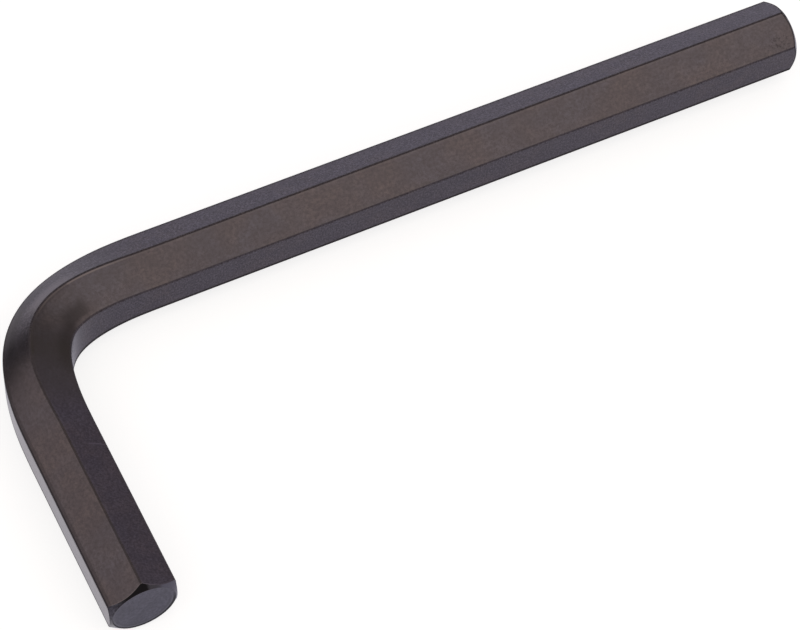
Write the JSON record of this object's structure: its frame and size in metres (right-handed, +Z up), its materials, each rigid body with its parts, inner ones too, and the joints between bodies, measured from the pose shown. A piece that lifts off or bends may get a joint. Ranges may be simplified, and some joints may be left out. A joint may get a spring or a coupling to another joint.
{
  "type": "hex key",
  "caption": "L-shaped key bent from black hexagonal steel bar, with a long arm, a short arm and chamfered hexagonal ends that turn socket screws.",
  "frame": {"origin": "on the surface the key lies on, under the middle of its bounding box", "axes": "+X along the long arm towards its end; -Y along the short arm towards its end; +Z up, square to the plane of the bend, with an edge of the bar straight up and another straight down"},
  "size_m": [0.108, 0.044, 0.0091],
  "materials": {
    "black_steel": "black oxide, satin"
  },
  "bodies": {
    "root": {"hex_key": "black_steel"}
  },
  "joints": []
}
